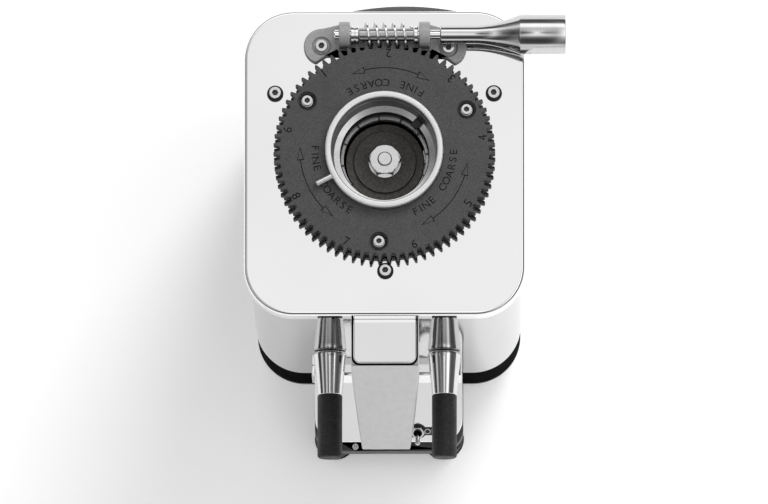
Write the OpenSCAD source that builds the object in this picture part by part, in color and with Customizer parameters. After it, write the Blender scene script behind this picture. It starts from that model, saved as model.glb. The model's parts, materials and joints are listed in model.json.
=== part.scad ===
/* [Top plate and body] */
// Height of the top plate's upper face above the counter
plate_top_z = 290; // [270:1:310]
// Width of the top plate
plate_w = 171; // [168:1:175]
// Distance from the burr axis to the top plate's front edge
plate_front = 99; // [97:1:102]
// Distance from the burr axis to the top plate's back edge
plate_back = 89; // [87:1:92]
// Corner radius of the top plate in plan
plate_corner_r = 30; // [26:1:34]
// Height of the skirt that hangs round the top plate
skirt_h = 13; // [10:1:14]
// Thickness of the body shell's sheet
shell_t = 1.5; // [1.2:0.1:2]
// Height of the body shell's lower edge above the counter
shell_bottom_z = 61; // [58:1:64]
// Height of the black base band's lower edge above the counter
band_bottom_z = 17; // [15:1:19]

/* [Adjusting gear and worm] */
// Number of teeth on the adjusting gear
gear_teeth = 75; // [75:75]
// Tip radius of the gear
gear_tip_r = 67.4; // [67.2:0.1:67.5]
// Root radius of the gear
gear_root_r = 63.4; // [63.2:0.1:63.6]
// Thickness of the gear
gear_t = 9; // [8:0.5:9]
// Height of the gear's underside above the plate
gear_lift = 5.5; // [5.5:0.1:6]
// Tip radius of the worm thread
worm_tip_r = 7.6; // [7.2:0.1:7.6]
// Core radius of the worm
worm_core_r = 4.1; // [3.8:0.1:4.1]
// Turns of the worm thread
worm_turns = 5.6; // [4:0.2:5.6]
// Largest radius of the adjusting knob
knob_r = 12.2; // [11:0.1:12.2]

/* [Burrs and hopper collar] */
// Outer radius of the two flat burrs
burr_r = 32; // [30:0.5:32]
// Height of the hopper collar's rim above the plate
collar_rise = 21; // [19:0.5:23]
// Bore radius of the hopper collar
collar_bore_r = 32; // [31:0.1:32.5]
// Throat radius below the conical ledge
throat_r = 26.7; // [26:0.1:27]
// Gap between the burrs
burr_gap = 0.6; // [0.4:0.1:1]

/* [Fork, chute and front base] */
// Half the distance between the two fork arms
fork_x = 35.2; // [33:0.1:37]
// Height of the fork arms above the counter
fork_z = 138; // [136:1:146]
// Width of the chute where it leaves the body
chute_w = 41; // [38:1:44]
// Width of the chute's tip
chute_tip_w = 28.8; // [26:0.2:31]
// Width of the front base
base_w = 92; // [90:1:96]
// Distance from the burr axis to the front base's foremost face
base_front = 139; // [138:1:144]

/* [Hidden] */
$fn = 96;
eps = 0.01;

// heights
plate_t = 3;
skirt_t = 2.5;
collar_top_z = plate_top_z + collar_rise;
gear_z = plate_top_z + gear_lift;
gear_top_z = gear_z + gear_t;
worm_z = plate_top_z + 12.8;
burr_plane_z = plate_top_z - 28;
disc_top_z = burr_plane_z + 3;
chamber_floor_z = burr_plane_z - 21;

// plan
shell_half_w = plate_w / 2 - 3.5;
shell_front = plate_front - 3;
shell_back = plate_back - 3;
rear_bulge = 5.5;
chute_tip_y = 166;

// worm and gear
pitch_r = (gear_tip_r + gear_root_r) / 2 + 0.2;
worm_lead = 2 * PI * pitch_r / gear_teeth;
worm_y = 71.9;
worm_start_x = -2.5 * worm_lead;
knob_start_x = 34;
knob_end_x = 110.5;
journal_r = 3;
block_x = [-24.25, 24.6];
block_w = 6.7;

// the object's box is centred on the origin, so the burr axis stands off it
burr_x = (plate_w / 2 - knob_end_x) / 2;
burr_y = (chute_tip_y - plate_back - rear_bulge) / 2;

plate_screw_at = [[-66.5, 37.8], [66.5, 37.8], [0.5, -71.8]];
ear_screw_at = [[-38.3, 66.6], [39, 65.6]];
gear_screw_r = 56;
gear_screw_angles = [26.7, 146.7, 266.7];
foot_at = [[-33.5, -128], [33.5, -128], [-50, 44], [50, 44]];
corner_at = [[-62, -74], [62, -74], [-62, 64], [62, 64]];
band_inset = 0.5;
floor_t = 3;
lock_angle = 207;
switch_x = 17.9;
switch_y = -128;
slope_top_y = -shell_front;
slope_top_z = shell_bottom_z;
slope_foot_y = -134;
slope_foot_z = 28;
slope_angle = atan((slope_top_z - slope_foot_z) / (slope_top_y - slope_foot_y));
plinth_z = 12;
plinth_top_z = 24;
cone_len = 27;
sleeve_len = 39;
sleeve_r = 7.65;
fork_core_r = 4.5;
button_z = 150;
button_travel = 4;
inlet_x = -34;
inlet_z = 84;
duct_half_w = 14;
duct_z = [chamber_floor_z + 3, burr_plane_z - 3];

steel = [0.82, 0.82, 0.83];
satin = [0.7, 0.7, 0.71];
bright = [0.88, 0.88, 0.88];
black = [0.05, 0.05, 0.05];
cast_dark = [0.23, 0.23, 0.235];
cast_gray = [0.55, 0.55, 0.56];
rubber = [0.08, 0.08, 0.08];
copper = [0.72, 0.42, 0.24];

// ---- shared shapes ----

module at_burr_axis() {
    translate([burr_x, burr_y, 0]) children();
}

// rounded rectangle from its four sides
module rounded_plan(x0, x1, y0, y1, r) {
    translate([x0 + r, y0]) square([x1 - x0 - 2 * r, y1 - y0]);
    translate([x0, y0 + r]) square([x1 - x0, y1 - y0 - 2 * r]);
    for (x = [x0 + r, x1 - r], y = [y0 + r, y1 - r]) translate([x, y]) circle(r);
}

// the body's outline, moved inwards by inset
module body_plan(inset = 0) {
    rounded_plan(-shell_half_w + inset, shell_half_w - inset,
        -shell_front + inset, shell_back - inset, plate_corner_r - inset);
}

// socket head screw: head rests on z = 0, shank runs down
module socket_screw(shank_r, shank_len, head_r, head_h) {
    difference() {
        cylinder(r = head_r, h = head_h);
        translate([0, 0, head_h * 0.4]) cylinder(r = head_r * 0.5, h = head_h, $fn = 6);
    }
    translate([0, 0, -shank_len]) cylinder(r = shank_r, h = shank_len + eps);
}

// turns local z towards -Y, so that a screw's head looks to the front
module facing_front(x, y, z) {
    translate([x, y, z]) rotate([90, 0, 0]) children();
}

// turns local z towards +Y
module facing_back(x, y, z) {
    translate([x, y, z]) rotate([-90, 0, 0]) children();
}

module ring(outer_r, inner_r, h) {
    difference() {
        cylinder(r = outer_r, h = h);
        translate([0, 0, -1]) cylinder(r = inner_r, h = h + 2);
    }
}

module at_gear_screws() {
    for (a = gear_screw_angles) rotate(a) translate([gear_screw_r, 0, 0]) children();
}

// the front base's sloping top: x across, y up the slope, z out of it
module on_slope(x, y) {
    drop = (slope_top_y - y) * tan(slope_angle);
    translate([x, y, slope_top_z - drop]) rotate([slope_angle, 0, 0]) children();
}

// ---- plate and body ----

module top_plate() {
    color(bright) at_burr_axis() difference() {
        translate([0, 0, plate_top_z - skirt_h]) linear_extrude(skirt_h)
            rounded_plan(-plate_w / 2, plate_w / 2, -plate_front, plate_back, plate_corner_r);
        translate([0, 0, plate_top_z - skirt_h - 1]) linear_extrude(skirt_h + 1 - plate_t)
            rounded_plan(-plate_w / 2 + skirt_t, plate_w / 2 - skirt_t,
                -plate_front + skirt_t, plate_back - skirt_t, plate_corner_r - skirt_t);
        translate([0, 0, plate_top_z - plate_t - 1]) cylinder(r = 41, h = plate_t + 2);
        for (p = concat(plate_screw_at, ear_screw_at))
            translate([p.x, p.y, plate_top_z - plate_t - 1]) cylinder(r = 2.1, h = plate_t + 2);
    }
}

module body_shell() {
    h = plate_top_z - plate_t - shell_bottom_z;
    color(bright) at_burr_axis() difference() {
        translate([0, 0, shell_bottom_z]) linear_extrude(h) body_plan();
        translate([0, 0, shell_bottom_z - 1]) linear_extrude(h + 2) body_plan(shell_t);
        translate([-duct_half_w, -shell_front - 1, duct_z[0]])
            cube([2 * duct_half_w, 5, duct_z[1] - duct_z[0]]);
        for (x = [-fork_x, fork_x]) facing_front(x, -shell_front + 3, fork_z) cylinder(r = 4.1, h = 6);
        facing_front(0, -shell_front + 3, button_z) cylinder(r = 9.05, h = 6);
        for (x = bracket_screw_x) facing_front(x, -shell_front + 3, 82) cylinder(r = 1.6, h = 6);
        for (x = [-17, 17]) facing_front(x, -shell_front + 3, 235) cylinder(r = 1.6, h = 6);
        for (x = [-26, 50], z = [165, 262])
            facing_back(x, shell_back - 3, z) cylinder(r = 1.6, h = 6);
        translate([inlet_x - 14, shell_back - 3, inlet_z - 10]) cube([28, 6, 20]);
    }
}

module base_band() {
    h = shell_bottom_z - band_bottom_z;
    color(black) at_burr_axis() {
        difference() {
            translate([0, 0, band_bottom_z]) linear_extrude(h) body_plan(band_inset);
            translate([0, 0, band_bottom_z - 1]) linear_extrude(h + 2) body_plan(band_inset + 3);
        }
        for (p = corner_at) translate([p.x, p.y, band_bottom_z]) difference() {
            union() {
                cylinder(r = 5, h = 14);
                rotate(atan2(p.y, p.x)) translate([0, -2, 0]) cube([15.5, 4, 14]);
            }
            translate([0, 0, -1]) cylinder(r = 2, h = 12);
        }
    }
}

module bottom_cover() {
    color(satin) at_burr_axis() difference() {
        translate([0, 0, band_bottom_z - floor_t]) linear_extrude(floor_t) body_plan(band_inset);
        for (p = corner_at) translate([p.x, p.y, band_bottom_z - floor_t - 1]) cylinder(r = 2.1, h = 5);
        for (a = [0 : 30 : 330]) rotate(a) translate([22, -2, band_bottom_z - floor_t - 1])
            cube([20, 4, floor_t + 2]);
    }
}

module bottom_screws() {
    color(satin) at_burr_axis() for (p = corner_at)
        translate([p.x, p.y, band_bottom_z - floor_t]) mirror([0, 0, 1]) socket_screw(2, 12, 3.5, 2.2);
}

module rubber_feet() {
    color(rubber) at_burr_axis() for (p = foot_at) {
        foot_h = p.y < 0 ? plinth_z : band_bottom_z - floor_t;
        translate([p.x, p.y, 0]) {
            cylinder(r1 = 11, r2 = 12, h = 2);
            translate([0, 0, 2 - eps]) cylinder(r = 12, h = foot_h - 2 + eps);
        }
    }
}

// ---- rear ----

bulge_r = 170;
bulge_x = 12;
bulge_half_w = 48;
cover_z = [150, plate_top_z - skirt_h - 1];

// the rear cover's solid outline, moved inwards by inset
module bulge_plan(inset = 0) {
    intersection() {
        translate([bulge_x, plate_back + rear_bulge - bulge_r]) circle(bulge_r - inset, $fn = 360);
        translate([bulge_x - bulge_half_w + inset, shell_back])
            square([2 * (bulge_half_w - inset), 20]);
    }
}

module rear_cover() {
    color(cast_dark) at_burr_axis() difference() {
        translate([0, 0, cover_z[0]]) linear_extrude(cover_z[1] - cover_z[0]) bulge_plan();
        translate([0, -eps, cover_z[0] + 12]) linear_extrude(cover_z[1] - cover_z[0] - 24)
            translate([bulge_x - 33, shell_back - 1]) square([66, 4.5]);
        for (x = [-26, 50], z = [165, 262])
            facing_back(x, shell_back - 1, z) cylinder(r = 1.6, h = 12);
        for (i = [0 : 9]) translate([bulge_x - 22, shell_back - 1, 185 + i * 6]) cube([44, 20, 2.4]);
    }
}

module rear_cover_screws() {
    color(satin) at_burr_axis() for (x = [-26, 50], z = [165, 262])
        facing_back(x, plate_back + 2, z) socket_screw(1.5, 10, 2.8, 2);
}

module power_inlet() {
    color(black) at_burr_axis() translate([inlet_x, shell_back, inlet_z]) difference() {
        union() {
            translate([-13.9, -18, -9.9]) cube([27.8, 18 + eps, 19.8]);
            translate([-25, 0, -14]) cube([50, 2.4, 28]);
        }
        translate([-12, -15.5, -8]) cube([24, 20, 16]);
        for (x = [-20, 20]) facing_back(x, -1, 0) cylinder(r = 1.7, h = 6);
        for (p = [[-7, -1.5], [7, -1.5], [0, 4]])
            translate([p.x - 1, -20, p.y - 2]) cube([2, 12, 4]);
    }
}

module inlet_blades() {
    color(bright) at_burr_axis() translate([inlet_x, shell_back, inlet_z])
        for (p = [[-7, -1.5], [7, -1.5], [0, 4]]) translate([p.x - 1, -22, p.y - 2]) cube([2, 18, 4]);
}

// ---- front base, switch and tray bracket ----

// the front base cover's solid wedge, moved inwards by inset
module base_wedge(inset) {
    intersection() {
        translate([0, 0, plinth_top_z]) linear_extrude(60)
            rounded_plan(-base_w / 2 + 0.4 + inset, base_w / 2 - 0.4 - inset, slope_foot_y + inset, -70, 13);
        rotate([90, 0, 90]) translate([0, 0, -base_w / 2]) linear_extrude(base_w) polygon([
            [slope_foot_y, plinth_top_z], [slope_top_y + band_inset, plinth_top_z],
            [slope_top_y + band_inset, slope_top_z - inset * 1.4],
            [slope_top_y, slope_top_z - inset * 1.4], [slope_foot_y, slope_foot_z - inset * 1.4]]);
    }
}

module front_base_cover() {
    color(bright) at_burr_axis() difference() {
        base_wedge(0);
        translate([0, 0, -eps]) base_wedge(1.5);
        on_slope(switch_x, switch_y) translate([0, 0, -5]) cylinder(r = 2.6, h = 10);
    }
}

// small screw in the plinth's ledge, in front of the cover
ledge_screw = [-20.8, 2.6 - base_front];

module front_base_plinth() {
    color(black) at_burr_axis() difference() {
        translate([0, 0, plinth_z]) linear_extrude(plinth_top_z - plinth_z) intersection() {
            rounded_plan(-base_w / 2, base_w / 2, -base_front, -70, 14);
            translate([-base_w, -base_front]) square([2 * base_w, base_front - shell_front + band_inset]);
        }
        translate([0, 0, plinth_z + 3]) linear_extrude(20)
            rounded_plan(-base_w / 2 + 4, base_w / 2 - 4, -base_front + 10, -shell_front - 3, 9);
        translate([ledge_screw.x, ledge_screw.y, plinth_top_z - 7]) cylinder(r = 1.25, h = 8);
    }
}

module plinth_screws() {
    color(bright) at_burr_axis() translate([ledge_screw.x, ledge_screw.y, plinth_top_z])
        socket_screw(1.2, 6, 2, 1.2);
}

bracket_z = [62, 90];
bracket_gap = 5;
bracket_half_w = 46.1;
bracket_x = -0.9;
bracket_screw_x = [bracket_x - 40.1, bracket_x + 40.1];

module tray_bracket() {
    h = bracket_z[1] - bracket_z[0];
    color(bright) at_burr_axis() translate([bracket_x, -shell_front, bracket_z[0]]) difference() {
        union() {
            translate([-bracket_half_w, -bracket_gap - 1.5, 0]) cube([2 * bracket_half_w, 1.5, h]);
            for (x = [-bracket_half_w, bracket_half_w - 2]) translate([x, -bracket_gap - 1, 0])
                cube([2, bracket_gap + 1, h]);
            for (x = [-bracket_half_w, bracket_half_w - 12]) translate([x, -1.5, 0]) cube([12, 1.5, h]);
        }
        for (x = bracket_screw_x) translate([-bracket_x, 0, 82 - bracket_z[0]]) {
            facing_front(x, 1, 0) cylinder(r = 1.6, h = 4);
            facing_front(x, -3, 0) cylinder(r = 3.4, h = 6);
        }
    }
}

module bracket_screws() {
    color(satin) at_burr_axis() for (x = bracket_screw_x)
        facing_front(x, -shell_front - 1.5, 82) socket_screw(1.55, 8, 2.8, 1.8);
}

module switch_label() {
    color(black) at_burr_axis() on_slope(switch_x, switch_y) linear_extrude(0.8) difference() {
        union() {
            circle(5.2);
            translate([-12, -2.6]) square([24, 5.2]);
            for (x = [-12, 12]) translate([x, 0]) circle(2.6);
        }
        circle(2.6);
    }
}

pivot_z = -0.6;
pivot_r = 0.7;

module switch_body() {
    color(black) at_burr_axis() on_slope(switch_x, switch_y) difference() {
        union() {
            translate([-6.5, -3.8, -10]) cube([13, 7.6, 8.2]);
            translate([0, 0, -3]) cylinder(r = 2.5, h = 6.5);
        }
        translate([0, 0, -2]) cylinder(r1 = 1.4, r2 = 2.2, h = 6);
        translate([-3, 0, pivot_z]) rotate([0, 90, 0]) cylinder(r = pivot_r + 0.05, h = 6);
    }
}

module switch_nut() {
    color(bright) at_burr_axis() on_slope(switch_x, switch_y) translate([0, 0, 0.8]) difference() {
        cylinder(r = 4.4, h = 1.8, $fn = 6);
        translate([0, 0, -1]) cylinder(r = 2.55, h = 4);
    }
}

toggle_tilt = 11;

// lever leans to the front at rest
module toggle_lever() {
    color(bright) at_burr_axis() on_slope(switch_x, switch_y)
        translate([0, 0, pivot_z]) rotate([toggle_tilt, 0, 0]) {
            translate([-2.3, 0, 0]) rotate([0, 90, 0]) cylinder(r = pivot_r, h = 4.6);
            sphere(r = 1.1);
            cylinder(r1 = 0.9, r2 = 1.45, h = 11);
            translate([0, 0, 11]) sphere(r = 1.65);
        }
}

// ---- chute ----

chute_top_z = plate_top_z - 16.5;
chute_knee_y = -127;
chute_tip_z = 194;
chute_wall = 2;

// side outline of the chute, moved inwards by w on its upper faces and upwards on its floor
module chute_solid(w, back) {
    half = chute_w / 2 - w;
    tip_half = chute_tip_w / 2 - w;
    intersection() {
        rotate([90, 0, 90]) translate([0, 0, -chute_w / 2]) linear_extrude(chute_w) polygon([
            [back, chute_top_z - w], [chute_knee_y + w * 0.5, chute_top_z - w],
            [-chute_tip_y + w * 1.2, chute_tip_z - (w > 0 ? 12 : 0)],
            [-chute_tip_y + 3 + w, chute_tip_z - 5 - (w > 0 ? 8 : 0)],
            [-146 - w, chute_tip_z - 5 - (w > 0 ? 8 : 0)],
            [-128 - w, 222 + w], [back, duct_z[0] - 2.5 + w]]);
        linear_extrude(400) polygon([
            [-half, back + 1], [half, back + 1], [half, chute_knee_y],
            [tip_half, -chute_tip_y - 1], [-tip_half, -chute_tip_y - 1], [-half, chute_knee_y]]);
    }
}

module chute_body() {
    color(steel) at_burr_axis() difference() {
        union() {
            chute_solid(0, -shell_front);
            translate([-chute_w / 2, -shell_front - 2, 229]) cube([chute_w, 2, 14]);
        }
        chute_solid(chute_wall, -shell_front + 5);
        for (x = [-17, 17]) facing_front(x, -shell_front + 3, 235) cylinder(r = 1.6, h = 8);
    }
}

module chute_cap() {
    color(bright) at_burr_axis() translate([0, 0, chute_top_z]) linear_extrude(2.5)
        rounded_plan(-chute_w / 2 + 1.4, chute_w / 2 - 1.4, chute_knee_y + 1, -shell_front - 0.5, 4);
}

module chute_screws() {
    color(satin) at_burr_axis() for (x = [-17, 17])
        facing_front(x, -shell_front - 2, 235) socket_screw(1.55, 8, 2.8, 1.8);
}

// ---- fork and start button ----

module fork_arm(x) {
    color(steel) at_burr_axis() facing_front(x, -shell_front, fork_z) {
        rotate_extrude() polygon([[0, 0], [8.8, 0], [9.9, 1.4], [10.2, 3.2], [sleeve_r, cone_len],
            [0, cone_len]]);
        cylinder(r = fork_core_r, h = cone_len + sleeve_len - 3);
        translate([0, 0, -14]) cylinder(r = 4, h = 15);
    }
}

module left_fork_arm() {
    fork_arm(-fork_x);
}

module right_fork_arm() {
    fork_arm(fork_x);
}

module fork_sleeve(x) {
    color(rubber) at_burr_axis() facing_front(x, -shell_front - cone_len, fork_z) difference() {
        rotate_extrude() polygon([[0, 0], [sleeve_r, 0], [sleeve_r, sleeve_len - 1.5],
            [sleeve_r - 1.5, sleeve_len], [0, sleeve_len]]);
        translate([0, 0, -1]) cylinder(r = fork_core_r + 0.03, h = sleeve_len - 1.97);
    }
}

module left_fork_sleeve() {
    fork_sleeve(-fork_x);
}

module right_fork_sleeve() {
    fork_sleeve(fork_x);
}

module fork_nuts() {
    color(satin) at_burr_axis() for (x = [-fork_x, fork_x])
        facing_back(x, -shell_front + shell_t, fork_z) difference() {
            cylinder(r = 7.5, h = 6.5, $fn = 6);
            translate([0, 0, -1]) cylinder(r = 4.03, h = 9);
        }
}

module start_button() {
    color(black) at_burr_axis() facing_front(0, -shell_front, button_z) {
        translate([0, 0, -14]) cylinder(r = 2.5, h = 15);
        translate([0, 0, -6]) cylinder(r = 6.5, h = 13);
        translate([0, 0, 7 - eps]) cylinder(r1 = 6.5, r2 = 5.5, h = 1);
    }
}

module start_button_bezel() {
    color(satin) at_burr_axis() facing_front(0, -shell_front, button_z) difference() {
        union() {
            translate([0, 0, -22]) cylinder(r = 9, h = 22 + eps);
            cylinder(r = 11, h = 2);
        }
        translate([0, 0, -11]) cylinder(r = 6.6, h = 20);
        translate([0, 0, -21]) cylinder(r = 2.6, h = 20);
    }
}

spring_z = [-10.6, -6.4];

// coil between the button's shoulder and its housing
module start_button_spring() {
    turns = 3;
    steps = 16;
    wire = 0.35;
    coil_r = 4.4;
    rings = [for (i = [0 : turns * steps]) let (a = i * 360 / steps,
        z = spring_z[0] + wire + (spring_z[1] - spring_z[0] - 2 * wire) * i / (turns * steps))
        for (k = [0 : 5]) [(coil_r + wire * cos(60 * k)) * cos(a), (coil_r + wire * cos(60 * k)) * sin(a),
            z + wire * sin(60 * k)]];
    n = turns * steps;
    walls = [for (i = [0 : n - 1], k = [0 : 5]) each [
        [6 * i + k, 6 * (i + 1) + k, 6 * (i + 1) + (k + 1) % 6],
        [6 * i + k, 6 * (i + 1) + (k + 1) % 6, 6 * i + (k + 1) % 6]]];
    ends = [[0, 1, 2, 3, 4, 5], [6 * n + 5, 6 * n + 4, 6 * n + 3, 6 * n + 2, 6 * n + 1, 6 * n]];
    color(satin) at_burr_axis() facing_front(0, -shell_front, button_z)
        polyhedron(points = rings, faces = concat(walls, ends));
}

// ---- worm drive ----

// radius of the bracket's two ears
ear_r = 10.8;

module worm_bracket() {
    color(cast_gray) at_burr_axis() difference() {
        union() {
            translate([0, 0, plate_top_z]) linear_extrude(4) {
                difference() {
                    union() {
                        for (p = ear_screw_at) translate(p) circle(ear_r);
                        polygon([[-43.2, 76.2], [-27.6, 79.8], [-27.6, 62], [-33, 57.3]]);
                        polygon([[43.9, 75.2], [27.95, 79.8], [27.95, 62], [33.7, 56.3]]);
                    }
                    circle(70);
                }
                translate([-27.8, 62]) square([55.8, 8]);
            }
            for (x = block_x) translate([x - block_w / 2, 0, 0]) {
                translate([0, 64.6, plate_top_z]) cube([block_w, 15.2, worm_z - plate_top_z]);
                translate([0, worm_y + 0.3, worm_z]) rotate([0, 90, 0]) cylinder(r = 7.6, h = block_w);
            }
        }
        translate([-40, worm_y, worm_z]) rotate([0, 90, 0]) cylinder(r = 5, h = 90);
        for (p = ear_screw_at) translate([p.x, p.y, plate_top_z - 1]) {
            cylinder(r = 2.1, h = 12);
            translate([0, 0, 4]) cylinder(r = 5.4, h = 10);
        }
    }
}

module worm_bracket_screws() {
    color(bright) at_burr_axis() for (p = ear_screw_at)
        translate([p.x, p.y, plate_top_z + 3]) socket_screw(2, 9, 3.6, 3);
}

module worm_bushings() {
    color(satin) at_burr_axis() for (x = block_x) translate([x - block_w / 2, worm_y, worm_z])
        rotate([0, 90, 0]) ring(4.98, journal_r + 0.05, block_w);
}

thread_root_half = 0.95;
thread_tip_half = 0.5;
thread_steps = 24;

// points of one thread section, a turns-fraction along the worm
function thread_ring(i) = let (a = i * 360 / thread_steps, x = worm_start_x + worm_lead * i / thread_steps,
    in_r = worm_core_r - 0.5) [for (s = [[-thread_root_half, in_r], [-thread_tip_half, worm_tip_r],
        [thread_tip_half, worm_tip_r], [thread_root_half, in_r]]) [x + s[0], s[1] * cos(a), s[1] * sin(a)]];

module worm_thread() {
    n = round(worm_turns * thread_steps);
    points = [for (i = [0 : n]) each thread_ring(i)];
    walls = [for (i = [0 : n - 1], k = [0 : 3]) each [
        [4 * i + k, 4 * (i + 1) + (k + 1) % 4, 4 * (i + 1) + k],
        [4 * i + k, 4 * i + (k + 1) % 4, 4 * (i + 1) + (k + 1) % 4]]];
    ends = [[3, 2, 1, 0], [4 * n, 4 * n + 1, 4 * n + 2, 4 * n + 3]];
    polyhedron(points = points, faces = concat(walls, ends));
}

// brings the thread into the gaps between the gear's teeth
worm_phase = 180;

module worm_shaft() {
    color(steel) at_burr_axis() translate([0, worm_y, worm_z]) rotate([worm_phase, 0, 0]) {
        worm_thread();
        rotate([0, 90, 0]) rotate_extrude() polygon([
            [0, -30.5], [journal_r - 0.5, -30.5], [journal_r, -30], [journal_r, -20.4],
            [5.6, -20.4], [5.6, -15.6], [worm_core_r, -15], [worm_core_r, 17.8],
            [5.6, 18.2], [5.6, 20.7], [journal_r, 20.7], [journal_r, 50], [0, 50]]);
    }
}

// concave flare between the knob's neck and its barrel
function flare(t) = 5.5 + (knob_r - 5.5) * pow(t, 1.8);

module adjusting_knob() {
    neck_end = 54.5;
    barrel_start = 82.5;
    color(steel) at_burr_axis() translate([0, worm_y, worm_z]) difference() {
        rotate([0, 90, 0]) rotate_extrude() polygon([
            [0, knob_start_x], [4.9, knob_start_x], [5.5, knob_start_x + 0.6],
            for (i = [0 : 10]) [flare(i / 10), neck_end + (barrel_start - neck_end) * i / 10],
            [knob_r, knob_end_x - 1], [knob_r - 1, knob_end_x], [0, knob_end_x]]);
        translate([knob_start_x - 1, 0, 0]) rotate([0, 90, 0]) cylinder(r = journal_r + 0.03, h = 18);
        translate([knob_start_x + 8, 0, 0]) cylinder(r = 1.5, h = 10);
    }
}

module knob_set_screw() {
    color(black) at_burr_axis() translate([knob_start_x + 8, worm_y, worm_z + journal_r + 0.05]) difference() {
        cylinder(r = 1.48, h = 2.2);
        translate([0, 0, 1]) cylinder(r = 0.8, h = 2, $fn = 6);
    }
}

// ---- adjusting gear and hopper collar ----

tooth_tip_half = 0.6;
tooth_root_half = 1.6;
tooth_phase = 0;

// tooth corner: half width w at radius r on tooth i
function tooth_point(i, w, r) = let (a = 90 + tooth_phase + i * 360 / gear_teeth - w / r * 180 / PI)
    [r * cos(a), r * sin(a)];

module gear_plan() {
    polygon([for (i = [0 : gear_teeth - 1]) each [
        tooth_point(i, tooth_root_half, gear_root_r), tooth_point(i, tooth_tip_half, gear_tip_r),
        tooth_point(i, -tooth_tip_half, gear_tip_r), tooth_point(i, -tooth_root_half, gear_root_r)]]);
}

module adjusting_gear() {
    color(cast_dark) at_burr_axis() translate([0, 0, gear_z]) difference() {
        linear_extrude(gear_t) gear_plan();
        translate([0, 0, -1]) cylinder(r = 36.2, h = gear_t + 2);
        at_gear_screws() {
            translate([0, 0, -1]) cylinder(r = 2.1, h = gear_t + 2);
            translate([0, 0, gear_t - 2.5]) cylinder(r = 5.75, h = 4);
        }
    }
}

module gear_screws() {
    color(bright) at_burr_axis() translate([0, 0, gear_top_z - 1]) at_gear_screws()
        socket_screw(2, 11, 3.2, 3.2);
}

module gear_washers() {
    color(bright) at_burr_axis() translate([0, 0, gear_top_z - 2.5]) at_gear_screws() difference() {
        cylinder(r1 = 4.95, r2 = 3.4, h = 1.5);
        translate([0, 0, -1]) cylinder(r = 2.1, h = 4);
    }
}

ledge_top_z = plate_top_z + 8;
ledge_z = plate_top_z - 5.7;
carrier_r = 39.95;
flange_r = 60;
burr_seat_z = burr_plane_z + 10;

module upper_burr_carrier() {
    color(satin) at_burr_axis() difference() {
        rotate_extrude() polygon([
            [throat_r, burr_seat_z], [burr_r + 0.03, burr_seat_z], [burr_r + 0.03, burr_plane_z],
            [carrier_r, burr_plane_z], [carrier_r, plate_top_z + 1], [flange_r, plate_top_z + 1],
            [flange_r, gear_z], [36, gear_z], [36, collar_top_z - 1], [35, collar_top_z],
            [collar_bore_r + 0.8, collar_top_z], [collar_bore_r, collar_top_z - 0.8],
            [collar_bore_r, ledge_top_z], [throat_r, ledge_z]]);
        at_gear_screws() translate([0, 0, plate_top_z]) cylinder(r = 2.02, h = 8);
        rotate(lock_angle) translate([20, 0, gear_top_z + 3.2]) rotate([0, 90, 0]) cylinder(r = 1.9, h = 30);
        for (a = [30, 150, 270]) rotate(a) translate([28.8, 0, burr_seat_z - 1]) cylinder(r = 1.5, h = 9);
        rotate(45) translate([28.2, -2.6, ledge_z - 3]) cube([4, 5.2, 20]);
        rotate(45) translate([24, -2.6, ledge_z + 2]) cube([7, 5.2, 18]);
    }
}

module upper_burr() {
    cutters = 12;
    color(steel) at_burr_axis() translate([0, 0, burr_plane_z + 0.01]) difference() {
        ring(burr_r, 25, burr_seat_z - burr_plane_z - 0.02);
        translate([0, 0, -1]) cylinder(r1 = 29, r2 = 25, h = 4);
        for (i = [0 : cutters - 1]) rotate(i * 360 / cutters) translate([20, -1.6, -0.01]) rotate([0, 0, 24])
            cube([11, 3.2, 5]);
        for (a = [30, 150, 270]) rotate(a) translate([28.8, 0, -1]) {
            cylinder(r = 1.6, h = 12);
            cylinder(r = 3, h = 4.5);
        }
    }
}

module upper_burr_screws() {
    color(steel) at_burr_axis() for (a = [30, 150, 270]) rotate(a)
        translate([28.8, 0, burr_plane_z + 3.5]) mirror([0, 0, 1]) socket_screw(1.45, 12, 2.8, 2.4);
}

module hopper_lock_pin() {
    color(bright) at_burr_axis() rotate(lock_angle) translate([0, 0, gear_top_z + 3.2]) rotate([0, 90, 0])
        rotate_extrude() polygon([[0, 32.4], [1.4, 32.4], [1.85, 32.9], [1.85, 45.9], [1.4, 46.4], [0, 46.4]]);
}

module hopper_catch() {
    color(black) at_burr_axis() rotate(45) translate([28.3, -2.5, ledge_z - 2.9]) {
        cube([3.6, 5, 8]);
        translate([-3.6, 0, 5]) cube([5.4, 5, 3.4]);
    }
}

// ---- burr housing and burr set ----

module burr_housing() {
    top = plate_top_z - plate_t;
    floor_z = chamber_floor_z - 5;
    color(cast_gray) at_burr_axis() difference() {
        union() {
            translate([0, 0, floor_z]) cylinder(r = 46, h = top - floor_z);
            for (p = plate_screw_at) translate([0, 0, top - 9]) {
                translate([p.x, p.y]) cylinder(r = 7, h = 9);
                rotate(atan2(p.y, p.x)) translate([43, -6, 0]) cube([norm(p) - 46, 12, 9]);
            }
            translate([-duct_half_w - 3, -shell_front + shell_t, duct_z[0] - 2])
                cube([2 * duct_half_w + 6, 60, duct_z[1] - duct_z[0] + 4]);
        }
        translate([0, 0, burr_plane_z]) cylinder(r = 40, h = 60);
        translate([0, 0, chamber_floor_z]) cylinder(r = 38, h = 60);
        translate([0, 0, floor_z - 1]) cylinder(r = 14, h = 20);
        translate([-duct_half_w, -shell_front, duct_z[0]])
            cube([2 * duct_half_w, 70, duct_z[1] - duct_z[0]]);
        for (p = plate_screw_at) translate([p.x, p.y, top - 8]) cylinder(r = 2.02, h = 10);
    }
}

module plate_washers() {
    color(black) at_burr_axis() for (p = plate_screw_at) translate([p.x, p.y, plate_top_z]) ring(5, 2.1, 1.2);
}

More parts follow.
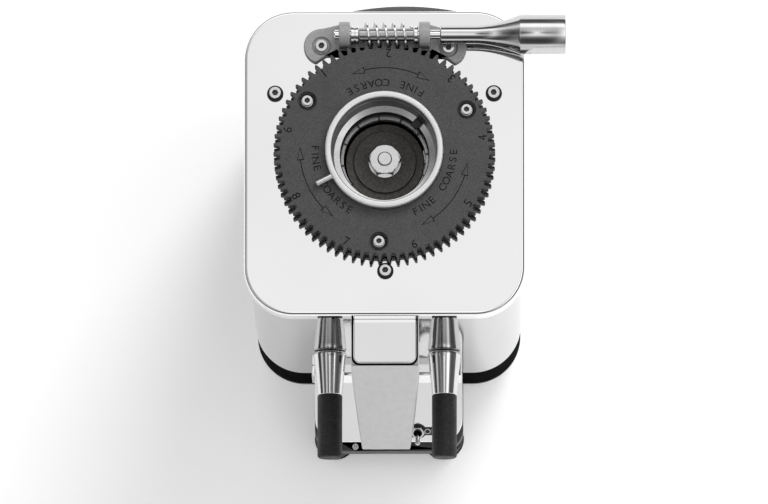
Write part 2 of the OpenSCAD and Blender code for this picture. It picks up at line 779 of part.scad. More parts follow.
module plate_screws() {
    color(bright) at_burr_axis() for (p = plate_screw_at)
        translate([p.x, p.y, plate_top_z + 1.2]) socket_screw(2, 11, 3.6, 3.6);
}

hub_r = 23.8;
lower_burr_z = burr_plane_z - 11;

module lower_burr() {
    cutters = 12;
    h = burr_plane_z - burr_gap - lower_burr_z;
    color(steel) at_burr_axis() translate([0, 0, lower_burr_z]) difference() {
        ring(burr_r, hub_r + 0.15, h);
        for (i = [0 : cutters - 1]) rotate(i * 360 / cutters) translate([20, -1.6, h - 4]) rotate([0, 0, -24])
            cube([11, 3.2, 5]);
        for (a = [90, 210, 330]) rotate(a) translate([28.8, 0, -1]) {
            cylinder(r = 1.6, h = 14);
            translate([0, 0, h - 3]) cylinder(r = 3, h = 6);
        }
    }
}

module lower_burr_screws() {
    color(steel) at_burr_axis() for (a = [90, 210, 330]) rotate(a)
        translate([28.8, 0, burr_plane_z - burr_gap - 4]) socket_screw(1.45, 10, 2.8, 2.4);
}

module lower_burr_carrier() {
    color([0.2, 0.19, 0.18]) at_burr_axis() difference() {
        union() {
            translate([0, 0, lower_burr_z - 7]) cylinder(r = 33, h = 7);
            translate([0, 0, lower_burr_z - 11]) cylinder(r = 13, h = 5);
            translate([0, 0, lower_burr_z - eps]) cylinder(r = hub_r, h = disc_top_z - lower_burr_z - 2);
            translate([0, 0, disc_top_z - 2 - 2 * eps]) cylinder(r = 19, h = 2);
            for (a = [0 : 90 : 270]) rotate(a) translate([31, -2, lower_burr_z - 7]) cube([6, 4, 6]);
        }
        translate([0, 0, lower_burr_z - 20]) cylinder(r = 6.02, h = 50);
        for (a = [90, 210, 330]) rotate(a) translate([28.8, 0, lower_burr_z - 5]) cylinder(r = 1.5, h = 8);
    }
}

module burr_washer() {
    color(steel) at_burr_axis() translate([0, 0, disc_top_z - 2 * eps]) ring(10, 5, 1.6);
}

nut_z = disc_top_z + 1.6;

module burr_nut() {
    color(steel) at_burr_axis() translate([0, 0, nut_z]) difference() {
        intersection() {
            cylinder(r = 9.9, h = 9, $fn = 6);
            rotate_extrude() polygon([[0, 0], [9.3, 0], [9.9, 0.8], [9.9, 8.2], [8.6, 9], [0, 9]]);
        }
        translate([0, 0, -1]) cylinder(r = 4.45, h = 12);
    }
}

module motor_shaft() {
    color(satin) at_burr_axis() rotate_extrude() polygon([[0, 40], [5.5, 40], [6, 40.5], [6, disc_top_z - 1],
        [4.4, disc_top_z - 1], [4.4, nut_z + 10.4], [3.8, nut_z + 11], [0, nut_z + 11]]);
}

// ---- motor ----

motor_r = 55;
stack_z = [110, 190];
can_z = [75, 215];

module rotor() {
    color(satin) at_burr_axis() {
        translate([0, 0, stack_z[0]]) ring(30, 6.02, stack_z[1] - stack_z[0]);
        for (z = [stack_z[0] - 8, stack_z[1] - eps]) translate([0, 0, z]) ring(27, 14, 8 + eps);
    }
}

module stator() {
    color(copper) at_burr_axis() {
        translate([0, 0, stack_z[0]]) ring(motor_r - 2, 30.5, stack_z[1] - stack_z[0]);
        for (z = [stack_z[0] - 18, stack_z[1] - eps]) translate([0, 0, z]) ring(47, 33, 18 + eps);
    }
}

module motor_can() {
    color(satin) at_burr_axis() translate([0, 0, can_z[0]]) ring(motor_r, motor_r - 2, can_z[1] - can_z[0]);
}

module end_bells() {
    housing_z = chamber_floor_z - 5;
    color(cast_gray) at_burr_axis() {
        translate([0, 0, can_z[1]]) difference() {
            union() {
                cylinder(r = motor_r, h = 5);
                cylinder(r = 42, h = housing_z - can_z[1]);
            }
            translate([0, 0, -1]) cylinder(r = 16, h = 30);
        }
        translate([0, 0, can_z[0] - 15]) difference() {
            union() {
                translate([0, 0, 10]) cylinder(r = motor_r, h = 5);
                cylinder(r = 22, h = 15);
            }
            translate([0, 0, -1]) cylinder(r = 16, h = 17);
        }
    }
}

module shaft_bearings() {
    color(bright) at_burr_axis() for (z = [can_z[0] - 12, chamber_floor_z - 20])
        translate([0, 0, z]) difference() {
            ring(15.98, 6.05, 10);
            for (s = [-1, 9]) translate([0, 0, s]) ring(13, 9, 2);
        }
}

module cooling_fan() {
    color(black) at_burr_axis() translate([0, 0, 42]) difference() {
        union() {
            cylinder(r = 12, h = 14);
            cylinder(r = 46, h = 1.6);
            for (a = [0 : 30 : 330]) rotate(a) translate([11, -0.8, 0]) cube([34, 1.6, 13]);
        }
        translate([0, 0, -1]) cylinder(r = 6.02, h = 20);
    }
}

module capacitor() {
    color([0.85, 0.85, 0.83]) at_burr_axis() translate([-40, 62, band_bottom_z]) {
        cylinder(r = 12, h = 48);
        for (x = [-4, 4]) translate([x - 0.4, -3, 48 - eps]) cube([0.8, 6, 6]);
    }
}

top_plate();
body_shell();
base_band();
bottom_cover();
bottom_screws();
rubber_feet();
rear_cover();
rear_cover_screws();
power_inlet();
inlet_blades();
front_base_cover();
front_base_plinth();
plinth_screws();
tray_bracket();
bracket_screws();
switch_label();
switch_body();
switch_nut();
toggle_lever();
chute_body();
chute_cap();
chute_screws();
left_fork_arm();
right_fork_arm();
left_fork_sleeve();
right_fork_sleeve();
fork_nuts();
start_button();
start_button_bezel();
start_button_spring();
worm_bracket();
worm_bracket_screws();
worm_bushings();
worm_shaft();
adjusting_knob();
knob_set_screw();
adjusting_gear();
gear_screws();
gear_washers();
upper_burr_carrier();
upper_burr();
upper_burr_screws();
hopper_lock_pin();
hopper_catch();
burr_housing();
plate_screws();
plate_washers();
lower_burr();
lower_burr_carrier();
lower_burr_screws();
burr_nut();
burr_washer();
motor_shaft();
rotor();
stator();
motor_can();
end_bells();
shaft_bearings();
cooling_fan();
capacitor();
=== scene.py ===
import json
import math

import bmesh
import bpy
from mathutils import Matrix, Vector


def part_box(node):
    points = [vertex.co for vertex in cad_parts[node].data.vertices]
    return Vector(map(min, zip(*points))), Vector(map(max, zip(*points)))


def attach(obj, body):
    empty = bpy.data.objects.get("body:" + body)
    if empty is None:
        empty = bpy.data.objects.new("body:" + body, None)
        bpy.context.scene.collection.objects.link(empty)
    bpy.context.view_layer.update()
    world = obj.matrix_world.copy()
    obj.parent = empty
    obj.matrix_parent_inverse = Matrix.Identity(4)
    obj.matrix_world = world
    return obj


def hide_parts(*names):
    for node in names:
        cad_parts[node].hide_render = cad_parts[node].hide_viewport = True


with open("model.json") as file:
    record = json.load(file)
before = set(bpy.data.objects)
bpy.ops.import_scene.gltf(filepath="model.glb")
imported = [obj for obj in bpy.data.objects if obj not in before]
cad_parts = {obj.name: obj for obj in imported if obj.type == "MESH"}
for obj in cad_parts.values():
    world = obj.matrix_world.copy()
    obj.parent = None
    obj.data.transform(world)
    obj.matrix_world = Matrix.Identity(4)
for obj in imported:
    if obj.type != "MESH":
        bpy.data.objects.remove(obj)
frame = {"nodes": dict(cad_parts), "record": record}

scene = bpy.context.scene
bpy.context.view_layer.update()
mm = 0.001
seam = 2e-6  # corners closer than this are one corner
crease = {"plain": 32, "cut": 30, "turned": 28}  # degrees between faces that stay sharp
flatWithin = 0.4  # degrees between faces that are one flat face
bevelFrom = 38  # degrees between faces whose edge is broken
bodyOfNode = {node: body for body, nodes in frame["record"]["behaviour"]["bodies"].items() for node in nodes}
print("frame loaded:", len(frame["nodes"]), "nodes")

# places taken from the frame

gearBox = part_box("adjusting_gear")
burrAxis = Vector(((gearBox[0].x + gearBox[1].x) / 2, (gearBox[0].y + gearBox[1].y) / 2, 0))
gearTop = gearBox[1].z
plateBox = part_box("top_plate")
plateTop = plateBox[1].z
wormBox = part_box("worm_bushings")
wormCentre = Vector((burrAxis.x, (wormBox[0].y + wormBox[1].y) / 2, (wormBox[0].z + wormBox[1].z) / 2))


# small tools for finishes

def newFinish(name, color, metallic, roughness):
    finish = bpy.data.materials.new(name)
    finish.use_nodes = True
    shader = finish.node_tree.nodes["Principled BSDF"]
    shader.inputs["Base Color"].default_value = (*color, 1)
    shader.inputs["Metallic"].default_value = metallic
    shader.inputs["Roughness"].default_value = roughness
    return finish


def addNode(finish, kind, **values):
    node = finish.node_tree.nodes.new(kind)
    for label, value in values.items():
        if label in node.inputs:
            node.inputs[label].default_value = value
        else:
            setattr(node, label, value)
    return node


def linkUp(finish, outSocket, inSocket):
    finish.node_tree.links.new(outSocket, inSocket)


# object coordinates, stretched, so that grain can run along one direction
def placeCoords(finish, stretch=(1, 1, 1), origin=(0, 0, 0)):
    coords = addNode(finish, "ShaderNodeTexCoord")
    mapping = addNode(finish, "ShaderNodeMapping", vector_type="POINT")
    mapping.inputs["Scale"].default_value = stretch
    mapping.inputs["Location"].default_value = [-o * s for o, s in zip(origin, stretch)]
    linkUp(finish, coords.outputs["Object"], mapping.inputs["Vector"])
    return mapping.outputs["Vector"]


def noiseOn(finish, coords, scale, detail=4.0, rough=0.5):
    noise = addNode(finish, "ShaderNodeTexNoise", Scale=scale, Detail=detail, Roughness=rough)
    linkUp(finish, coords, noise.inputs["Vector"])
    return noise.outputs["Fac"]


def rangeOf(finish, value, low, high, fromLow=0.3, fromHigh=0.7):
    mapRange = addNode(finish, "ShaderNodeMapRange")
    for label, number in (("From Min", fromLow), ("From Max", fromHigh), ("To Min", low), ("To Max", high)):
        mapRange.inputs[label].default_value = number
    linkUp(finish, value, mapRange.inputs["Value"])
    return mapRange.outputs["Result"]


def shaderOf(finish):
    return finish.node_tree.nodes["Principled BSDF"]


def varyRoughness(finish, value, low, high):
    linkUp(finish, rangeOf(finish, value, low, high), shaderOf(finish).inputs["Roughness"])


# the colour sockets of a mix node, which share their names with its other sockets
mixFirst = 6
mixSecond = 7
mixResult = 2


def varyColor(finish, value, dark, light, fromLow=0.3, fromHigh=0.7):
    mix = addNode(finish, "ShaderNodeMix", data_type="RGBA")
    mix.inputs[mixFirst].default_value = (*dark, 1)
    mix.inputs[mixSecond].default_value = (*light, 1)
    linkUp(finish, rangeOf(finish, value, 0, 1, fromLow, fromHigh), mix.inputs["Factor"])
    linkUp(finish, mix.outputs[mixResult], shaderOf(finish).inputs["Base Color"])


# several heights laid one over another, each as (value, strength, distance)
def addBumps(finish, *layers):
    below = None
    for value, strength, distance in layers:
        bump = addNode(finish, "ShaderNodeBump", Strength=strength, Distance=distance)
        linkUp(finish, value, bump.inputs["Height"])
        if below:
            linkUp(finish, below, bump.inputs["Normal"])
        below = bump.outputs["Normal"]
    linkUp(finish, below, shaderOf(finish).inputs["Normal"])


# a plain tone as a colour, and a colour as it is
def asColor(tone):
    return tone if isinstance(tone, tuple) else (tone, tone, tone)


# finishes

def mirrorSteel(name, tone, roughest):
    finish = newFinish(name, asColor(tone), 1.0, 0.05)
    coords = placeCoords(finish)
    cloud = noiseOn(finish, coords, 9.0, 3.0)
    hairs = noiseOn(finish, placeCoords(finish, (1, 26, 1)), 160.0, 2.0)
    varyColor(finish, cloud, asColor(tone * 0.95), asColor(tone))
    varyRoughness(finish, cloud, 0.03, roughest)
    addBumps(finish, (cloud, 0.03, 0.002), (hairs, 0.012, 0.0002))
    return finish


# fine grooves left by the lathe, crossing the piece's own axis
def turnedSteel(name, axis, tone, low, high):
    finish = newFinish(name, asColor(tone), 1.0, 0.18)
    stretch = [2.0, 2.0, 2.0]
    stretch["xyz".index(axis)] = 2600.0
    grooves = noiseOn(finish, placeCoords(finish, stretch), 1.0, 3.0, 0.7)
    patches = noiseOn(finish, placeCoords(finish), 60.0, 3.0)
    varyColor(finish, grooves, asColor(tone * 0.92), asColor(tone))
    varyRoughness(finish, patches, low, high)
    addBumps(finish, (grooves, 0.03, 0.0001))
    return finish


# turning marks that run round the burr axis
def facedAluminium(name, tone):
    finish = newFinish(name, asColor(tone), 0.9, 0.34)
    coords = placeCoords(finish, (1, 1, 1), burrAxis)
    split = addNode(finish, "ShaderNodeSeparateXYZ")
    linkUp(finish, coords, split.inputs["Vector"])
    flat = addNode(finish, "ShaderNodeCombineXYZ")
    linkUp(finish, split.outputs["X"], flat.inputs["X"])
    linkUp(finish, split.outputs["Y"], flat.inputs["Y"])
    length = addNode(finish, "ShaderNodeVectorMath", operation="LENGTH")
    linkUp(finish, flat.outputs["Vector"], length.inputs[0])
    rings = addNode(finish, "ShaderNodeCombineXYZ")
    linkUp(finish, length.outputs["Value"], rings.inputs["X"])
    linkUp(finish, split.outputs["Z"], rings.inputs["Z"])
    grooves = noiseOn(finish, rings.outputs["Vector"], 2400.0, 2.0, 0.6)
    patches = noiseOn(finish, coords, 45.0, 4.0)
    varyColor(finish, patches, asColor(tone * 0.92), asColor(tone))
    varyRoughness(finish, patches, 0.26, 0.4)
    addBumps(finish, (grooves, 0.12, 0.0001))
    return finish


# sand-cast or blasted metal, and powder coat: tone mottling over a fine grain
def grainyFinish(name, dark, light, metallic, roughness, grainScale, depth):
    finish = newFinish(name, asColor(light), metallic, roughness)
    coords = placeCoords(finish)
    grain = noiseOn(finish, coords, grainScale, 5.0, 0.6)
    mottle = noiseOn(finish, coords, grainScale / 9, 3.0)
    varyColor(finish, grain, asColor(dark), asColor(light), 0.35, 0.68)
    varyRoughness(finish, mottle, roughness * 0.86, min(1.0, roughness * 1.14))
    addBumps(finish, (mottle, 0.15, depth * 1.6), (grain, 0.5, depth))
    return finish


# plain machined or plated steel for screws, nuts and pins
def platedSteel(name, tone, roughness):
    finish = newFinish(name, (tone, tone, tone * 0.99), 1.0, roughness)
    coords = placeCoords(finish)
    scuffs = noiseOn(finish, coords, 420.0, 4.0, 0.6)
    varyColor(finish, scuffs, asColor(tone * 0.82), asColor(tone))
    varyRoughness(finish, scuffs, roughness * 0.75, roughness * 1.35)
    addBumps(finish, (scuffs, 0.10, 0.0001))
    return finish


# polished sheet: tone, greatest roughness
mirrorTones = {
    "plateMirror": (0.93, 0.07),
    "capMirror": (0.8, 0.08),
    # the body wall is the same polished steel as the plate, given a much darker tone as painted shade
    "wallMirrorPaintedShade": (0.52, 0.10),
    "baseMirror": (0.95, 0.12),
}

# turned metal: the axis it was turned on, tone, least and greatest roughness
turnedTones = {
    "armSteel": ("y", 0.74, 0.04, 0.1),
    "knobSteel": ("x", 0.65, 0.03, 0.08),
    "wormSteel": ("x", 0.86, 0.1, 0.2),
    # darker copy of the worm's steel for the thread root: painted shade
    "wormValleyShade": ("x", 0.5, 0.2, 0.3),
    "bronze": ("x", 0.5, 0.12, 0.26),
}

# screws, nuts and pins: tone, roughness
platedTones = {
    "screwBright": (0.8, 0.16),
    # the dark finish below is painted shade, put inside screw sockets, in the collar's throat and on the
    # feed slot blocks
    "paintedRecessShade": (0.1, 0.4),
    "nutSteel": (0.78, 0.16),
    "blackOxide": (0.04, 0.34),
}

# cast, blasted, painted and moulded surfaces:
# dark tone, light tone, metallic, roughness, scale of the grain, depth of the grain
grainyTones = {
    "spoutSatin": (0.5, 0.54, 0.85, 0.34, 260, 0.00003),
    "gearCast": ((0.05, 0.05, 0.051), (0.105, 0.105, 0.107), 0.2, 0.62, 1500, 0.0001),
    # near-black for the cut marks on the gear: painted shade
    "engravingShade": (0.006, 0.012, 0.0, 0.85, 1500, 0.0001),
    "bracketCast": ((0.32, 0.32, 0.325), (0.46, 0.46, 0.465), 0.35, 0.5, 1300, 0.00012),
    # the seat's lighter and the bore's darker finish are lit and shaded copies of the collar's satin:
    # painted light and painted shade
    "seatSatinPaintedLight": (0.5, 0.6, 0.95, 0.24, 1400, 0.00002),
    "boreSatinPaintedShade": (0.34, 0.42, 0.8, 0.35, 1400, 0.00002),
    "burrGround": (0.46, 0.62, 0.8, 0.3, 700, 0.00004),
    "discBronzed": ((0.07, 0.065, 0.06), (0.15, 0.138, 0.128), 0.4, 0.5, 600, 0.00006),
    "sleeveRubber": (0.008, (0.034, 0.034, 0.035), 0.0, 0.6, 900, 0.00016),
    "bandBlack": (0.004, 0.007, 0.0, 0.6, 700, 0.00002),
    "plinthBlack": (0.04, 0.06, 0.0, 0.42, 900, 0.00005),
    "buttonBlack": (0.012, 0.02, 0.0, 0.35, 1100, 0.00003),
    "rearPaint": ((0.085, 0.085, 0.086), (0.13, 0.13, 0.131), 0.0, 0.5, 1200, 0.00008),
    "labelBlack": (0.008, 0.013, 0.0, 0.3, 900, 0.00001),
    "labelWhite": (0.78, 0.85, 0.0, 0.45, 900, 0.00001),
    "housingCast": ((0.26, 0.26, 0.265), (0.42, 0.42, 0.43), 0.7, 0.5, 900, 0.0001),
    "sheetZinc": ((0.42, 0.42, 0.43), (0.55, 0.55, 0.56), 0.9, 0.36, 120, 0.00003),
    "coreLaminations": (0.12, (0.2, 0.2, 0.21), 0.7, 0.45, 1500, 0.0001),
    "copperWire": ((0.38, 0.14, 0.06), (0.6, 0.27, 0.13), 0.8, 0.35, 1200, 0.0003),
    "capacitorWhite": ((0.66, 0.66, 0.64), (0.76, 0.76, 0.74), 0.0, 0.3, 300, 0.00003),
}

faintGloss = 1.02  # refraction index of a surface that hardly shines at a low angle


def makeFinishes():
    made = {"collarFaced": facedAluminium("collarFaced", 0.95)}
    tables = ((mirrorSteel, mirrorTones), (turnedSteel, turnedTones), (platedSteel, platedTones),
              (grainyFinish, grainyTones))
    for maker, tones in tables:
        for name, values in tones.items():
            made[name] = maker(name, *values)
    shaderOf(made["bandBlack"]).inputs["IOR"].default_value = faintGloss
    return made


finishes = makeFinishes()
print("finishes made:", len(finishes))


# small tools for pieces

def meshFrom(work, name):
    mesh = bpy.data.meshes.new(name)
    work.to_mesh(mesh)
    work.free()
    return mesh


# a piece that stands in for a node of the frame
def addPiece(name, mesh, node, finish):
    piece = bpy.data.objects.new(name, mesh)
    scene.collection.objects.link(piece)
    if not mesh.materials:
        mesh.materials.append(finishes[finish])
    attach(piece, bodyOfNode[node])
    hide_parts(node)
    return piece


# a piece that the frame has no node for
def addExtra(name, mesh, finish, bodyNode):
    mesh.materials.append(finishes[finish])
    piece = bpy.data.objects.new(name, mesh)
    scene.collection.objects.link(piece)
    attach(piece, bodyOfNode[bodyNode])


# broad flat faces keep their own normals beside rounded edges
def bakeModifiers(piece):
    weighted = piece.modifiers.new("flatFaces", "WEIGHTED_NORMAL")
    weighted.keep_sharp = True
    bpy.context.view_layer.update()
    evaluated = piece.evaluated_get(bpy.context.evaluated_depsgraph_get())
    baked = bpy.data.meshes.new_from_object(evaluated)
    piece.modifiers.clear()
    piece.data = baked


def smoothFaces(mesh, angle=crease["plain"]):
    mesh.polygons.foreach_set("use_smooth", [True] * len(mesh.polygons))
    mesh.set_sharp_from_angle(angle=math.radians(angle))


# copy of a frame node as a clean mesh: flat faces whole again, its seams joined
def cleanCopy(node):
    work = bmesh.new()
    work.from_mesh(frame["nodes"][node].data)
    bmesh.ops.remove_doubles(work, verts=work.verts, dist=seam)
    bmesh.ops.dissolve_limit(work, angle_limit=math.radians(flatWithin), verts=work.verts, edges=work.edges)
    mesh = meshFrom(work, node + "Mesh")
    mesh.materials.clear()
    return mesh


def breakEdges(piece, width, segments):
    bevel = piece.modifiers.new("brokenEdges", "BEVEL")
    bevel.width = width * mm
    bevel.segments = segments
    bevel.limit_method = "ANGLE"
    bevel.angle_limit = math.radians(bevelFrom)
    bevel.harden_normals = True
    bevel.use_clamp_overlap = False


# the node's own shape with its sharp edges broken
def finishNode(node, finish, width, segments):
    mesh = cleanCopy(node)
    smoothFaces(mesh)
    mesh.materials.append(finishes[finish])
    piece = addPiece(node + "_piece", mesh, node, finish)
    if width:
        breakEdges(piece, width, segments)
    bakeModifiers(piece)


# ring-by-ring solid of revolution; the profile is (radius, distance along the axis) in millimetres
def turnedMesh(name, profile, centre, axis, around):
    toAxis = {"x": Matrix.Rotation(math.pi / 2, 3, "Y"), "-y": Matrix.Rotation(math.pi / 2, 3, "X"),
              "z": Matrix.Identity(3)}[axis]
    work = bmesh.new()
    rings = []
    for radius, along in profile:
        if radius < 1e-6:
            rings.append([work.verts.new(toAxis @ Vector((0, 0, along * mm)) + centre)])
            continue
        ring = []
        for i in range(around):
            a = 2 * math.pi * i / around
            spot = Vector((radius * mm * math.cos(a), radius * mm * math.sin(a), along * mm))
            ring.append(work.verts.new(toAxis @ spot + centre))
        rings.append(ring)
    for low, high in zip(rings, rings[1:]):
        for i in range(around):
            j = i + 1
            fourCorners = (low[i % len(low)], low[j % len(low)], high[j % len(high)], high[i % len(high)])
            corners = list(dict.fromkeys(fourCorners))
            if len(corners) > 2:
                work.faces.new(corners)
    bmesh.ops.remove_doubles(work, verts=work.verts, dist=seam / 20)
    bmesh.ops.recalc_face_normals(work, faces=work.faces)
    mesh = meshFrom(work, name)
    smoothFaces(mesh, crease["turned"])
    return mesh


# quarter-round corner between two straight runs of a profile
def roundCorner(centre, radius, fromAngle, toAngle, steps=5):
    spots = []
    for i in range(steps + 1):
        a = math.radians(fromAngle + (toAngle - fromAngle) * i / steps)
        spots.append((centre[0] + radius * math.cos(a), centre[1] + radius * math.sin(a)))
    return spots


# plain pieces: the frame's own shapes with broken edges and their finish

# finish, width of the broken edge, steps across it
edgeWork = {
    "body_shell": ("wallMirrorPaintedShade", 0.3, 2),
    "base_band": ("bandBlack", 0.6, 2),
    "bottom_cover": ("sheetZinc", 0.3, 1),
    "bottom_screws": ("screwBright", 0.2, 2),
    "rubber_feet": ("sleeveRubber", 0.8, 3),
    "rear_cover": ("rearPaint", 0.8, 3),
    "rear_cover_screws": ("screwBright", 0.25, 2),
    "power_inlet": ("buttonBlack", 0.4, 2),
    "inlet_blades": ("screwBright", 0.15, 1),
    "front_base_cover": ("baseMirror", 0.6, 3),
    "front_base_plinth": ("plinthBlack", 1.2, 4),
    "plinth_screws": ("screwBright", 0.25, 2),
    "tray_bracket": ("baseMirror", 0.35, 2),
    "bracket_screws": ("screwBright", 0.25, 2),
    "switch_label": ("labelBlack", 0.15, 2),
    "switch_body": ("buttonBlack", 0.2, 1),
    "switch_nut": ("screwBright", 0.25, 2),
    "toggle_lever": ("screwBright", 0.05, 1),
    "chute_body": ("spoutSatin", 0.9, 3),
    "chute_cap": ("capMirror", 0.7, 3),
    "chute_screws": ("screwBright", 0.25, 2),
    "fork_nuts": ("nutSteel", 0.3, 1),
    "start_button": ("buttonBlack", 0.6, 3),
    "start_button_bezel": ("screwBright", 0.5, 3),
    "worm_bracket": ("bracketCast", 0.8, 3),
    "worm_bracket_screws": ("screwBright", 0.35, 3),
    "worm_bushings": ("bronze", 0.2, 1),
    "knob_set_screw": ("blackOxide", 0.1, 1),
    "gear_screws": ("screwBright", 0.35, 3),
    "gear_washers": ("screwBright", 0.2, 2),
    "upper_burr": ("burrGround", 0.2, 1),
    "upper_burr_screws": ("screwBright", 0.2, 1),
    "hopper_catch": ("buttonBlack", 0.4, 2),
    "hopper_lock_pin": ("screwBright", 0.3, 3),
    "burr_housing": ("housingCast", 0.6, 1),
    "plate_screws": ("screwBright", 0.35, 3),
    "plate_washers": ("blackOxide", 0.25, 2),
    "lower_burr": ("burrGround", 0.2, 1),
    "lower_burr_carrier": ("discBronzed", 0.3, 2),
    "lower_burr_screws": ("screwBright", 0.2, 1),
    "burr_nut": ("nutSteel", 0, 0),
    "burr_washer": ("nutSteel", 0.2, 2),
    "motor_shaft": ("nutSteel", 0.3, 2),
    "rotor": ("coreLaminations", 0.5, 1),
    "stator": ("copperWire", 3.0, 4),
    "motor_can": ("sheetZinc", 0.4, 1),
    "end_bells": ("housingCast", 1.0, 2),
    "shaft_bearings": ("nutSteel", 0.4, 2),
    "cooling_fan": ("buttonBlack", 0.2, 1),
    "capacitor": ("capacitorWhite", 0.8, 3),
}

for node, (finish, width, segments) in edgeWork.items():
    finishNode(node, finish, width, segments)
print("frame pieces finished:", len(edgeWork))


# top plate: a drawn sheet with a well rounded rim

plate = {"rimRound": 2.2, "rimSteps": 7, "skirtLeast": 10.0}


def makePlate():
    mesh = cleanCopy("top_plate")
    work = bmesh.new()
    work.from_mesh(mesh)
    rim = []
    for edge in work.edges:
        if min(corner.co.z for corner in edge.verts) < plateTop - 5 * seam:
            continue
        lowest = min(corner.co.z for face in edge.link_faces for corner in face.verts)
        if plateTop - lowest > plate["skirtLeast"] * mm:
            rim.append(edge)
    bmesh.ops.bevel(work, geom=rim, offset=plate["rimRound"] * mm, segments=plate["rimSteps"], profile=0.5,
                    affect="EDGES", clamp_overlap=False)
    work.to_mesh(mesh)
    work.free()
    smoothFaces(mesh)
    mesh.materials.append(finishes["plateMirror"])
    bakeModifiers(addPiece("top_plate_piece", mesh, "top_plate", "plateMirror"))


makePlate()
print("plate made")


# painted shade: the faces deep inside the upright screws' sockets get a dark finish

screwSockets = {"share": 0.6, "headHeight": 2.0, "below": 0.3, "deepest": 3.0}


def shadeSockets(node):
    mesh = bpy.data.objects[node + "_piece"].data
    mesh.materials.append(finishes["paintedRecessShade"])
    work = bmesh.new()
    work.from_mesh(mesh)
    left = set(work.verts)
    while left:
        island = {left.pop()}
        front = set(island)
        while front:
            front = {edge.other_vert(v) for v in front for edge in v.link_edges} & left
            left -= front
            island |= front
        top = max(v.co.z for v in island)
        head = [v.co for v in island if v.co.z > top - screwSockets["headHeight"] * mm]
        centre = sum(head, Vector()) / len(head)
        reach = max((spot - centre).xy.length for spot in head) * screwSockets["share"]
        for face in {face for v in island for face in v.link_faces}:
            middle = face.calc_center_median()
            inSocket = screwSockets["below"] * mm < top - middle.z < screwSockets["deepest"] * mm
            if inSocket and (middle - centre).xy.length < reach:
                face.material_index = 1
    work.to_mesh(mesh)
    work.free()


for node in ("gear_screws", "plate_screws", "worm_bracket_screws"):
    shadeSockets(node)
print("sockets shaded")


# painted shade: a thin black sheet in the shadowed gap between the chute and its cap

chuteGapShade = {"overhang": 1.1, "thick": 0.5, "below": 0.1, "corner": 5.0, "cornerSteps": 8}


def makeChuteGapShade():
    low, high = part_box("chute_cap")
    grow, corner = chuteGapShade["overhang"] * mm, chuteGapShade["corner"] * mm
    x0, x1, y0, y1 = low.x - grow, high.x + grow, low.y - grow, high.y
    outline = [(x1, y1), (x0, y1)]
    for centreX, start in ((x0 + corner, 180), (x1 - corner, 270)):
        for i in range(chuteGapShade["cornerSteps"] + 1):
            a = math.radians(start + 90 * i / chuteGapShade["cornerSteps"])
            outline.append((centreX + corner * math.cos(a), y0 + corner + corner * math.sin(a)))
    work = bmesh.new()
    face = work.faces.new([work.verts.new((x, y, low.z - chuteGapShade["below"] * mm)) for x, y in outline])
    raised = bmesh.ops.extrude_face_region(work, geom=[face])
    lift = Vector((0, 0, chuteGapShade["thick"] * mm))
    moved = [item for item in raised["geom"] if isinstance(item, bmesh.types.BMVert)]
    bmesh.ops.translate(work, verts=moved, vec=lift)
    bmesh.ops.recalc_face_normals(work, faces=work.faces)
    addExtra("chute_gap_shade", meshFrom(work, "chuteGapShade"), "bandBlack", "chute_cap")


makeChuteGapShade()
print("chute gap shade made")


# adjusting gear: cast ring with numbers, words and arrows cut into its face; the cuts get a near-black
# finish as painted shade

gearMarks = {
    "edge": 0.3,
    "depth": 0.45,
    "numbers": 9,
    "numberRadius": 60.6,
    "numberSize": 7.6,
    "firstNumberAngle": -37.5,
    "numberStep": 40.0,
    "wordRadius": 42.3,
    "wordSize": 6.6,
    "letterPitch": 4.6,
    "narrowLetter": 0.7,
    "wordSpread": 19.0,
    "groupAngles": (126.0, 5.0, -115.0),
    "arrowRadius": 51.2,
    "arrowHalfSpan": 28.0,
    "arrowLine": 0.55,
    "arrowSteps": 24,
    "headLength": 8.5,
    "headWidth": 4.4,
    "headTip": 1.43,
    "headGap": 0.04,
    "headSlit": 0.01,
}


# a mark's frame on the gear's face: the angle runs clockwise from the back, tops point to the centre
def markFrame(angle, radius):
    a = math.radians(angle)
    spot = burrAxis + Vector((radius * mm * math.sin(a), radius * mm * math.cos(a), gearTop))
    return Matrix.Translation(spot) @ Matrix.Rotation(math.pi - a, 4, "Z")


def letterMesh(text, size, depth):
    curve = bpy.data.curves.new("mark", "FONT")
    curve.body = text
    curve.size = size * mm
    curve.extrude = depth * mm
    curve.align_x = "CENTER"
    curve.align_y = "CENTER"
    curve.resolution_u = 4
    holder = bpy.data.objects.new("mark", curve)
    scene.collection.objects.link(holder)
    bpy.context.view_layer.update()
    mesh = bpy.data.meshes.new_from_object(holder.evaluated_get(bpy.context.evaluated_depsgraph_get()))
    bpy.data.objects.remove(holder)
    bpy.data.curves.remove(curve)
    return mesh


# flat outline in millimetres made into a cutter that stands through the gear's face
def prism(work, outline, depth, place):
    low = [work.verts.new(place @ Vector((x * mm, y * mm, -depth * mm))) for x, y in outline]
    high = [work.verts.new(place @ Vector((x * mm, y * mm, depth * mm))) for x, y in outline]
    work.faces.new(low[::-1])
    work.faces.new(high)
    for i in range(len(outline)):
        j = (i + 1) % len(outline)
        work.faces.new((low[i], low[j], high[j], high[i]))


